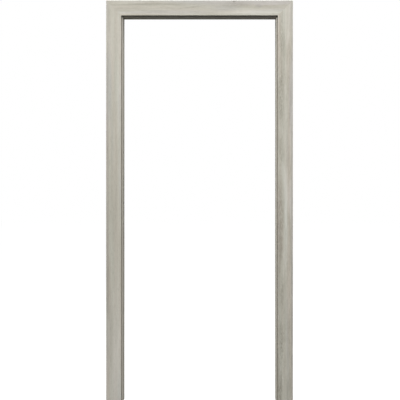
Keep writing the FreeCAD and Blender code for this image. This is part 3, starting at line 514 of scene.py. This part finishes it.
def metal(name, tone_name, roughness, brushing, depth):
    """Make a metal with brushing along Z and a cloudy sheen."""
    shader = Shader(name)
    lines = shader.noise(Layer(brushing, brushing / BRUSHING_LENGTH, 3, 0.65))
    sheen = shader.noise(METAL_SHEEN)
    dull = colour(tone_name, 0.78, 0.78, 0.76)
    tone = shader.between(sheen, METAL_SHEEN.low, METAL_SHEEN.high)
    uneven = shader.math("ADD", shader.centred(lines, BRUSHING_STRENGTH),
                         shader.centred(sheen, METAL_SHEEN.strength))
    return shader.finish(base_color=shader.blend(tone, dull, colour(tone_name)), metallic=1.0,
                         roughness=shader.math("ADD", roughness, uneven),
                         normal=shader.bump(lines, depth, 0.0001))


def moulded(name, tone_name, roughness):
    """Make moulded plastic with a fine eroded texture."""
    shader = Shader(name)
    pale = colour(tone_name, 1.35, 1.35, 1.35)
    return shader.finish(base_color=shader.blend(shader.noise(MOULD_FLOW), colour(tone_name), pale),
                         roughness=roughness, normal=shader.bump(shader.noise(MOULD_GRAIN), 0.2, 0.0002))


def shared(make, name, *details):
    """Return a material by name, made on its first use."""
    return bpy.data.materials.get(name) or make(name, *details)


def zinc_plating():
    """Return the zinc plating of receivers, bolts and screws."""
    return shared(metal, "zinc_plating", "zinc", 0.34, 1100, 0.12)


def satin_nickel():
    """Return the satin nickel of the strike plate and its screws."""
    return shared(metal, "satin_nickel", "nickel", 0.30, 2600, 0.10)


def front_casing_surface(member, place, normal):
    """Tell the foiled faces of a front casing from its raw back and cuts."""
    across, depth = section_of(member, place)
    outwards, backwards, along = turned_to(member, place, normal)
    if along > CUT:
        return CORE
    if backwards < -ROUNDED and depth < FACE_BAND:
        return FOIL
    if outwards > ROUNDED and across > CASING_WIDTH - EDGE_BAND:
        return FOIL
    if outwards < -SQUARE and abs(across) < NEAR:
        return FOIL
    if backwards > SQUARE and across > LINING_BACK and BOARD_DEPTH < depth < STOP_DEPTH - NEAR:
        return BACKING
    return CORE


def lining_surface(member, place, normal):
    """Tell the foiled faces of a lining, with its rear lip, from its papered back and cuts."""
    across, depth = section_of(member, place)
    outwards, backwards, along = turned_to(member, place, normal)
    if along > CUT:
        return CORE
    if outwards < -ROUNDED and across < STOP_ACROSS + STEP_BAND:
        return FOIL
    if backwards < -ROUNDED and across < 0 and depth < STOP_DEPTH + STEP_BAND:
        return FOIL
    if backwards > SQUARE and across < REAR_INNER:
        return FOIL
    if outwards > SQUARE and across > LINING_BACK - NEAR:
        return BACKING
    return CORE


def rear_casing_surface(member, place, normal):
    """Tell the foiled faces of a rear casing from its raw wall side."""
    across, depth = section_of(member, place)
    outwards, backwards, along = turned_to(member, place, normal)
    if along > CUT:
        return CORE
    if backwards > ROUNDED and depth > REAR_FACE - FACE_BAND:
        return FOIL
    if outwards > ROUNDED and across > REAR_OUTER - EDGE_BAND:
        return FOIL
    if outwards < -SQUARE and across < REAR_INNER + NEAR:
        return FOIL
    if backwards < -SQUARE and across > 0:
        return BACKING
    return CORE


def rear_tongue_surface(member, place, normal):
    """Tell the foiled faces of a rear tongue from its cut ends."""
    outwards, backwards, along = turned_to(member, place, normal)
    return CORE if along > CUT or backwards > CUT else FOIL


def make_boards(group, surface, marks=None):
    """Finish the three boards of one group, each with its own stretch of foil."""
    for number, member in enumerate(MEMBERS):
        name = f"{group}_{member}"
        mesh = merged_copy(name)
        for face in mesh.faces:
            face.material_index = surface(member, face.calc_center_median(), face.normal)
        soften(mesh, look().edge_round, hold_back=False)
        grain = "x" if member == "head" else "z"
        start = FOIL_STARTS[group] + number * FOIL_STEP
        foil = oak_foil(f"{name}_foil", grain, start, (marks or {}).get(member, ()), STREAKING[member])
        materials = [foil, shared(board_core, "board_core"), shared(backing_paper, "backing_paper")]
        body = "rear_frame" if group.startswith("rear") else "fixed_frame"
        add_piece(f"{name}_finish", mesh, materials, body, [name])


def make_fitting(name, material, size, body="fixed_frame", seats=()):
    """Finish a fitting: join its faces, cut its screw seats, round its edges and give it a material."""
    mesh = merged_copy(name)
    for seat in seats:
        cut_seat(mesh, seat)
    soften(mesh, size)
    return add_piece(f"{name}_finish", mesh, [material], body, [name])


def cut_seat(mesh, centre):
    """Countersink the screw hole whose rim is round a centre."""
    rim = [edge for edge in mesh.edges if all((vert.co - centre).length < SEAT_REACH for vert in edge.verts)]
    bmesh.ops.bevel(mesh, geom=rim, offset=SEAT_WIDTH, offset_type="OFFSET", affect="EDGES", segments=1,
                    profile=0.5, material=-1, clamp_overlap=False)


def drawn_out(mesh, edges, depth, scale):
    """Extrude a ring of edges downwards by a depth, scale it, and return the new ring."""
    geometry = bmesh.ops.extrude_edge_only(mesh, edges=edges)["geom"]
    verts = [item for item in geometry if isinstance(item, bmesh.types.BMVert)]
    bmesh.ops.translate(mesh, verts=verts, vec=(0, 0, -depth))
    bmesh.ops.scale(mesh, verts=verts, vec=(scale, scale, 1))
    return [item for item in geometry if isinstance(item, bmesh.types.BMEdge)
            and all(vert in verts for vert in item.verts)]


def cross_recess(mesh):
    """Add a cross-shaped recess at the origin and return the edges of its mouth."""
    bmesh.ops.create_grid(mesh, x_segments=3, y_segments=3, size=RECESS_HALF_SPAN)
    arm = RECESS_HALF_SPAN / 2
    corners = []
    for face in mesh.faces:
        centre = face.calc_center_median()
        if abs(centre.x) > arm and abs(centre.y) > arm:
            corners.append(face)
    bmesh.ops.delete(mesh, geom=corners, context="FACES")
    mouth = [edge for edge in mesh.edges if edge.is_boundary]
    bmesh.ops.delete(mesh, geom=mesh.faces[:], context="FACES_ONLY")
    bmesh.ops.delete(mesh, geom=[edge for edge in mesh.edges if edge not in mouth], context="EDGES")
    floor_edges = drawn_out(mesh, mouth, RECESS_DEPTH, RECESS_TAPER)
    bmesh.ops.contextual_create(mesh, geom=floor_edges)
    return mouth


def screw_mesh():
    """Make a countersunk wood screw with its head's face at the origin and its point downwards."""
    mesh = bmesh.new()
    mouth = cross_recess(mesh)
    known = set(mesh.edges)
    bmesh.ops.create_circle(mesh, segments=SCREW_SIDES, radius=SCREW_HEAD_RADIUS)
    rim = [edge for edge in mesh.edges if edge not in known]
    bmesh.ops.triangle_fill(mesh, edges=mouth + rim, use_beauty=True)
    ring = drawn_out(mesh, rim, SCREW_HEAD_DEPTH, SCREW_CORE_RADIUS / SCREW_HEAD_RADIUS)
    swell = SCREW_THREAD_RADIUS / SCREW_CORE_RADIUS
    for _ in range(SCREW_TURNS):
        ring = drawn_out(mesh, ring, SCREW_PITCH / 2, swell)
        ring = drawn_out(mesh, ring, SCREW_PITCH / 2, 1 / swell)
    ring = drawn_out(mesh, ring, SCREW_PITCH * 2, POINT_TAPER)
    bmesh.ops.contextual_create(mesh, geom=ring)
    bmesh.ops.recalc_face_normals(mesh, faces=mesh.faces)
    return mesh


def make_screws(name, seats, outwards, material):
    """Drive a screw into each seat, all as one piece."""
    one = bpy.data.meshes.new("screw")
    mesh = screw_mesh()
    mesh.to_mesh(one)
    mesh.free()
    group = bmesh.new()
    turn = Vector(outwards).to_track_quat("Z", "Y").to_matrix().to_4x4()
    for number, seat in enumerate(seats):
        known = set(group.verts)
        group.from_mesh(one)
        fresh = [vert for vert in group.verts if vert not in known]
        spin = Matrix.Rotation(FIRST_SCREW_TURN + NEXT_SCREW_TURN * number, 4, "Z")
        bmesh.ops.transform(group, matrix=Matrix.Translation(seat) @ turn @ spin, verts=fresh)
    bpy.data.meshes.remove(one)
    return add_piece(name, group, [material], "fixed_frame")


def plate_seats():
    """Return the centres of the strike plate's screw holes, on its face."""
    low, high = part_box("strike_plate")
    middle = (low.y + high.y) / 2
    heights = (low.z + PLATE_SCREW_END, high.z - PLATE_SCREW_END)
    return [Vector((low.x, middle, height)) for height in heights]


def flange_seats(name):
    """Return the centres of a hinge receiver's two screw holes, on the back of its flange."""
    low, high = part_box(f"hinge_receiver_{name}")
    across = -(REBATE_X + FLANGE_SCREW_ACROSS)
    heights = (low.z + FLANGE_SCREW_END, high.z - FLANGE_SCREW_END)
    return [Vector((across, high.y, height)) for height in heights]


# Where each group's foil starts in the noise, and how far its three boards are apart there.
FOIL_STARTS = {
    "front_casing": Vector((0.0, 0.0, 0.0)),
    "lining": Vector((5.3, 2.1, 7.7)),
    "rear_casing": Vector((11.2, 4.4, 1.9)),
    "rear_tongue": Vector((17.9, 6.3, 9.2)),
}
FOIL_STEP = Vector((1.7, 0.9, 3.1))

# How streaky and cloudy each member's foil is. The right post's is the liveliest.
STREAKING = {"left": 0.5, "right": 1.15, "head": 0.5}

# Marks: pale and dark streaks, broad bands, cool outer edges darkened by painted shade, open grain and the
# small dark spots in the head.
FRONT_MARKS_AND_EDGE_SHADE = {
    "left": (
        Mark(-0.427, 1.35, 0.012, 1.00, tone=0.10),
        Mark(-0.427, 0.42, 0.013, 0.60, tone=0.16),
        Mark(-0.449, 1.24, 0.012, 0.34, tone=0.16),
        Mark(-0.479, 1.66, 0.022, 0.30, tone=-0.14, warmth=-0.7, grey=0.9),
        Mark(-0.462, 1.02, 0.040, 0.55, tone=-0.06, warmth=-0.3),
        Mark(-0.475, 0.30, 0.030, 0.35, tone=-0.11),
        Mark(-0.480, 0.62, 0.016, 0.26, tone=-0.14, warmth=0.5),
        Mark(-0.466, 0.38, 0.017, 0.40, tone=-0.14),
        # Painted shade of the left post's rounded outer edge along its length, with a grey tint in the foil.
        Mark(-0.486, 1.02, 0.012, 1.40, tone=-0.28, grey=0.5),
        Mark(-0.450, 0.05, 0.090, 0.70, tone=0.22, grey=0.15),
        Mark(-0.450, 1.85, 0.090, 0.60, tone=0.14),
        Mark(-0.475, 2.04, 0.011, 0.16, tone=-0.15),
    ),
    "right": (
        Mark(0.431, 1.93, 0.022, 0.17, tone=-0.40, warmth=-0.3, patchy=True),
        Mark(0.430, 1.62, 0.020, 0.24, tone=-0.42, warmth=-0.3, patchy=True),
        Mark(0.430, 1.31, 0.014, 0.16, tone=-0.28, patchy=True),
        Mark(0.428, 0.95, 0.026, 0.34, tone=-0.42, warmth=0.7, patchy=True),
        Mark(0.431, 0.21, 0.025, 0.44, tone=-0.30, warmth=0.4, patchy=True),
        Mark(0.437, 0.31, 0.013, 0.11, tone=-0.40, patchy=True),
        Mark(0.436, 0.58, 0.012, 0.10, tone=-0.32, patchy=True),
        Mark(0.425, 0.04, 0.014, 0.10, tone=-0.36, warmth=0.3, patchy=True),
        Mark(0.447, 1.90, 0.006, 0.24, tone=-0.12),
        Mark(0.457, 1.93, 0.006, 0.20, tone=0.12),
        Mark(0.467, 2.03, 0.007, 0.11, tone=-0.14),
        Mark(0.428, 1.74, 0.008, 0.07, tone=0.18),
        Mark(0.454, 1.30, 0.014, 0.85, tone=0.20),
        Mark(0.455, 1.00, 0.020, 0.35, tone=0.24, warmth=-0.5, grey=0.15),
        Mark(0.440, 0.22, 0.009, 0.42, tone=0.26),
        Mark(0.446, 0.76, 0.009, 0.24, tone=0.26),
        Mark(0.442, 1.54, 0.010, 0.36, tone=-0.14),
        Mark(0.466, 1.12, 0.009, 0.18, tone=0.20),
        Mark(0.489, 1.14, 0.008, 0.22, tone=0.16),
        Mark(0.490, 0.30, 0.009, 0.38, tone=-0.14),
        Mark(0.472, 1.00, 0.009, 1.15, warmth=0.9),
        Mark(0.419, 1.90, 0.009, 0.22, warmth=1.0),
        Mark(0.480, 1.06, 0.014, 0.17, tone=0.26, grey=0.4),
        Mark(0.481, 1.62, 0.013, 0.26, tone=-0.12, grey=0.9),
        # Painted shade of the right post's rounded outer edge along its length, with a grey tint in the foil.
        Mark(0.489, 1.00, 0.012, 1.50, tone=-0.16, grey=0.6),
        Mark(0.453, 2.03, 0.090, 0.20, tone=0.20),
        Mark(0.453, 0.10, 0.090, 0.60, tone=-0.10, warmth=-0.3),
        Mark(0.482, 2.05, 0.013, 0.14, tone=-0.20, grey=0.4),
    ),
    "head": (
        Mark(2.112, 0.00, 0.014, 0.70, tone=0.10, grey=0.45),
        Mark(2.106, 0.16, 0.024, 0.42, grey=1.1),
        Mark(2.096, -0.27, 0.006, 0.26, tone=-0.18),
        Mark(2.055, -0.16, 0.018, 0.40, tone=0.04, grey=0.6),
        Mark(2.080, -0.04, 0.006, 0.11, tone=-0.18, tilt=0.12),
        Mark(2.076, 0.14, 0.020, 0.12, tone=-0.10, grey=0.7),
        Mark(2.054, 0.29, 0.021, 0.25, tone=0.30, grey=-0.5),
        Mark(2.047, -0.42, 0.012, 0.10, tone=0.20),
        Mark(2.110, 0.182, 0.007, 0.011, tone=-0.46),
        Mark(2.087, 0.314, 0.014, 0.028, tone=-0.13, grey=0.6),
        Mark(2.090, 0.200, 0.020, 0.100, tone=-0.22, patchy=True),
        Mark(2.076, 0.10, 0.080, 0.70, tone=0.06),
        Mark(2.105, -0.41, 0.015, 0.14, tone=0.13),
        Mark(2.104, 0.40, 0.020, 0.17, tone=0.16, grey=0.8),
    ),
}

# Painted shade: the left lining's foil is darker low down, where its reveal faces away from the key light.
LINING_SHADE_MARKS = {
    "left": (Mark(-0.413, 0.60, 0.060, 1.50, tone=-0.25, reach=0.50),),
}


class DressPiece:
    """What the operators of this file share."""

    bl_options = {"REGISTER", "UNDO"}


class FRAME_OT_front_casings(DressPiece, bpy.types.Operator):
    """Finish the front casing: two posts and a head, mitred, with grain along each"""

    bl_idname = "door_frame.front_casings"
    bl_label = "Front casings"

    def execute(self, context):
        make_boards("front_casing", front_casing_surface, FRONT_MARKS_AND_EDGE_SHADE)
        return {"FINISHED"}


class FRAME_OT_linings(DressPiece, bpy.types.Operator):
    """Finish the lining, with its stop face and papered back"""

    bl_idname = "door_frame.linings"
    bl_label = "Linings"

    def execute(self, context):
        make_boards("lining", lining_surface, LINING_SHADE_MARKS)
        return {"FINISHED"}


class FRAME_OT_rear_casings(DressPiece, bpy.types.Operator):
    """Finish the rear casing and the tongues that slide in the lining"""

    bl_idname = "door_frame.rear_casings"
    bl_label = "Rear casings"

    def execute(self, context):
        make_boards("rear_casing", rear_casing_surface)
        make_boards("rear_tongue", rear_tongue_surface)
        return {"FINISHED"}


class FRAME_OT_seals(DressPiece, bpy.types.Operator):
    """Finish the hollow seal in the stop face"""

    bl_idname = "door_frame.seals"
    bl_label = "Seals"

    def execute(self, context):
        for member in MEMBERS:
            mesh = merged_copy(f"gasket_{member}")
            add_piece(f"gasket_{member}_finish", mesh, [shared(rubber, "seal_rubber")], "fixed_frame",
                      [f"gasket_{member}"])
        return {"FINISHED"}


class FRAME_OT_angle_keys(DressPiece, bpy.types.Operator):
    """Finish the nylon angle keys that hold the casings' mitres"""

    bl_idname = "door_frame.angle_keys"
    bl_label = "Angle keys"

    def execute(self, context):
        nylon = shared(moulded, "black_nylon", "nylon", 0.45)
        for side in ("left", "right"):
            make_fitting(f"front_key_{side}", nylon, look().key_round)
            make_fitting(f"rear_key_{side}", nylon, look().key_round, "rear_frame")
        return {"FINISHED"}


class FRAME_OT_hinge_receivers(DressPiece, bpy.types.Operator):
    """Finish the hinge receivers, their clamp screws and the wood screws that hold them"""

    bl_idname = "door_frame.hinge_receivers"
    bl_label = "Hinge receivers"

    def execute(self, context):
        seats = []
        for name in HINGES:
            make_fitting(f"hinge_receiver_{name}", zinc_plating(), look().fitting_round,
                         seats=flange_seats(name))
            seats += flange_seats(name)
        make_screws("receiver_screws", seats, (0, 1, 0), zinc_plating())
        make_fitting("hinge_clamp_screws", zinc_plating(), look().screw_round)
        return {"FINISHED"}


class FRAME_OT_strike(DressPiece, bpy.types.Operator):
    """Finish the strike plate, its two screws and the dust box behind it"""

    bl_idname = "door_frame.strike"
    bl_label = "Strike plate and box"

    def execute(self, context):
        make_fitting("strike_plate", satin_nickel(), look().fitting_round,
                     seats=plate_seats())
        make_screws("strike_screws", plate_seats(), (-1, 0, 0), satin_nickel())
        box = shared(moulded, "dust_box_plastic", "dust_box", 0.5)
        make_fitting("strike_box", box, look().fitting_round)
        return {"FINISHED"}


class FRAME_OT_corner_fittings(DressPiece, bpy.types.Operator):
    """Finish the corner bolts and the cams that pull the lining's corners together"""

    bl_idname = "door_frame.corner_fittings"
    bl_label = "Corner fittings"

    def execute(self, context):
        cast = shared(metal, "cast_zinc", "cast_zinc", 0.48, 500, 0.3)
        for side in ("left", "right"):
            make_fitting(f"corner_bolts_{side}", zinc_plating(), look().fitting_round)
            make_fitting(f"corner_cams_{side}", cast, look().fitting_round)
        return {"FINISHED"}


class Lamp(NamedTuple):
    """A soft lamp: its place and width in metres, and the setting that holds its power."""

    name: str
    place: Vector
    width: float
    power: str


LAMPS = (
    Lamp("key_light", Vector((-0.6, -5.8, 6.2)), 2.4, "key_light"),
    Lamp("back_light", Vector((0.2, 4.6, 7.0)), 1.6, "back_light"),
    Lamp("left_light", Vector((-6.0, 0.3, 4.5)), 2.4, "side_light"),
    Lamp("right_light", Vector((6.0, 0.3, 4.5)), 2.4, "side_light"),
)
LAMP_TARGET = Vector((0.0, 0.0, 1.3))

# The camera stands far in front, a little right of the middle and at chest height.
CAMERA_DISTANCE = 10.20
CAMERA_PLACE = (0.120, FRONT_Y - CAMERA_DISTANCE, 1.172)
CAMERA_LENS = 173.92
CAMERA_SHIFT = (-0.0556, -0.052)
SENSOR_WIDTH = 36
FAR_CLIP = 200

# The floor shows as white with some shadow, and throws back little light.
FLOOR_HALF = 40
FLOOR_GLOW = 1.13
FLOOR_SHADOW = 0.18
FLOOR_WHITE = (0.9, 0.9, 0.9, 1)
FLOOR_BOUNCE = (0.08, 0.08, 0.08, 1)

# Between these heights of a direction, as a share of its length, the sky's light grows from low to full.
DIM_HEIGHT = -0.05
BRIGHT_HEIGHT = 0.25


class FRAME_OT_stage(DressPiece, bpy.types.Operator):
    """Add the floor, the light and the camera at the photograph's angle"""

    bl_idname = "door_frame.stage"
    bl_label = "Stage"

    def execute(self, context):
        make_floor()
        make_world()
        for lamp in LAMPS:
            make_lamp(lamp)
        make_camera()
        context.scene.view_settings.view_transform = "Standard"
        return {"FINISHED"}


def camera_rays(tree):
    """Return an output that is one for rays that should see white: from the camera, mirrors and glass."""
    path = tree.nodes.new("ShaderNodeLightPath")
    total = path.outputs["Is Camera Ray"]
    for name in ("Is Glossy Ray", "Is Transmission Ray"):
        either = tree.nodes.new("ShaderNodeMath")
        either.operation = "MAXIMUM"
        tree.links.new(total, either.inputs[0])
        tree.links.new(path.outputs[name], either.inputs[1])
        total = either.outputs[0]
    return total


def emptied_tree(owner):
    """Return the node tree of a new material or world, with nothing in it."""
    owner.use_nodes = True
    owner.node_tree.nodes.clear()
    return owner.node_tree


def make_floor():
    """Add a pale floor that shows nearly white and still takes the frame's shadow."""
    mesh = bmesh.new()
    bmesh.ops.create_grid(mesh, x_segments=1, y_segments=1, size=FLOOR_HALF)
    data = bpy.data.meshes.new("floor")
    mesh.to_mesh(data)
    mesh.free()
    floor = bpy.data.objects.new("floor", data)
    bpy.context.scene.collection.objects.link(floor)
    material = bpy.data.materials.new("pale_floor")
    tree = emptied_tree(material)
    shown = tree.nodes.new("ShaderNodeEmission")
    shown.inputs["Strength"].default_value = FLOOR_GLOW
    takes_shadow = tree.nodes.new("ShaderNodeBsdfDiffuse")
    takes_shadow.inputs["Color"].default_value = FLOOR_WHITE
    seen = tree.nodes.new("ShaderNodeMixShader")
    seen.inputs[0].default_value = FLOOR_SHADOW
    tree.links.new(shown.outputs[0], seen.inputs[1])
    tree.links.new(takes_shadow.outputs[0], seen.inputs[2])
    bounce = tree.nodes.new("ShaderNodeBsdfDiffuse")
    bounce.inputs["Color"].default_value = FLOOR_BOUNCE
    chosen = tree.nodes.new("ShaderNodeMixShader")
    tree.links.new(camera_rays(tree), chosen.inputs[0])
    tree.links.new(bounce.outputs[0], chosen.inputs[1])
    tree.links.new(seen.outputs[0], chosen.inputs[2])
    output = tree.nodes.new("ShaderNodeOutputMaterial")
    tree.links.new(chosen.outputs[0], output.inputs["Surface"])
    data.materials.append(material)


def make_world():
    """Light the frame softly from above the horizon, and show white behind it."""
    world = bpy.data.worlds.new("studio")
    bpy.context.scene.world = world
    tree = emptied_tree(world)
    direction = tree.nodes.new("ShaderNodeTexCoord")
    parts = tree.nodes.new("ShaderNodeSeparateXYZ")
    tree.links.new(direction.outputs["Generated"], parts.inputs[0])
    height = tree.nodes.new("ShaderNodeMapRange")
    height.inputs["From Min"].default_value = DIM_HEIGHT
    height.inputs["From Max"].default_value = BRIGHT_HEIGHT
    height.inputs["To Min"].default_value = look().low_light
    height.inputs["To Max"].default_value = look().sky_light
    tree.links.new(parts.outputs["Z"], height.inputs["Value"])
    strength = tree.nodes.new("ShaderNodeMix")
    strength.inputs["B"].default_value = 1.0
    tree.links.new(camera_rays(tree), strength.inputs["Factor"])
    tree.links.new(height.outputs["Result"], strength.inputs["A"])
    shown = tree.nodes.new("ShaderNodeBackground")
    shown.inputs["Color"].default_value = (1, 1, 1, 1)
    tree.links.new(strength.outputs["Result"], shown.inputs["Strength"])
    output = tree.nodes.new("ShaderNodeOutputWorld")
    tree.links.new(shown.outputs[0], output.inputs["Surface"])


def make_lamp(lamp):
    """Add a soft round lamp that shines at the middle of the frame."""
    data = bpy.data.lights.new(lamp.name, "AREA")
    data.shape = "DISK"
    data.size = lamp.width
    data.energy = getattr(look(), lamp.power)
    aim = (LAMP_TARGET - lamp.place).to_track_quat("-Z", "Y").to_matrix().to_4x4()
    lit = bpy.data.objects.new(lamp.name, data)
    lit.matrix_world = Matrix.Translation(lamp.place) @ aim
    bpy.context.scene.collection.objects.link(lit)


def make_camera():
    """Add the camera at the photograph's height and distance."""
    data = bpy.data.cameras.new("camera")
    data.sensor_width = SENSOR_WIDTH
    data.lens = CAMERA_LENS
    data.shift_x, data.shift_y = CAMERA_SHIFT
    data.clip_end = FAR_CLIP
    camera = bpy.data.objects.new("camera", data)
    camera.location = CAMERA_PLACE
    camera.rotation_euler = (math.radians(90), 0, 0)
    bpy.context.scene.collection.objects.link(camera)
    bpy.context.scene.camera = camera


OPERATORS = (
    FRAME_OT_front_casings, FRAME_OT_linings, FRAME_OT_rear_casings, FRAME_OT_seals, FRAME_OT_angle_keys,
    FRAME_OT_hinge_receivers, FRAME_OT_strike, FRAME_OT_corner_fittings, FRAME_OT_stage,
)


class FRAME_PT_finish(bpy.types.Panel):
    """Lists the steps of the finish."""

    bl_idname = "FRAME_PT_finish"
    bl_label = "Door frame"
    bl_space_type = "VIEW_3D"
    bl_region_type = "UI"
    bl_category = "Door frame"

    def draw(self, context):
        for name in FrameLook.__annotations__:
            self.layout.prop(context.scene.frame_look, name)
        for step in OPERATORS:
            self.layout.operator(step.bl_idname)


CLASSES = (FrameLook, *OPERATORS, FRAME_PT_finish)


def register():
    """Register the classes and the scene's settings."""
    for item in CLASSES:
        bpy.utils.register_class(item)
    bpy.types.Scene.frame_look = PointerProperty(type=FrameLook)


def unregister():
    """Take the settings and the classes away again."""
    del bpy.types.Scene.frame_look
    for item in reversed(CLASSES):
        bpy.utils.unregister_class(item)


def main():
    """Finish every piece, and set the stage."""
    register()
    for step in OPERATORS:
        group, name = step.bl_idname.split(".")
        getattr(getattr(bpy.ops, group), name)()


if __name__ == "__main__":
    main()
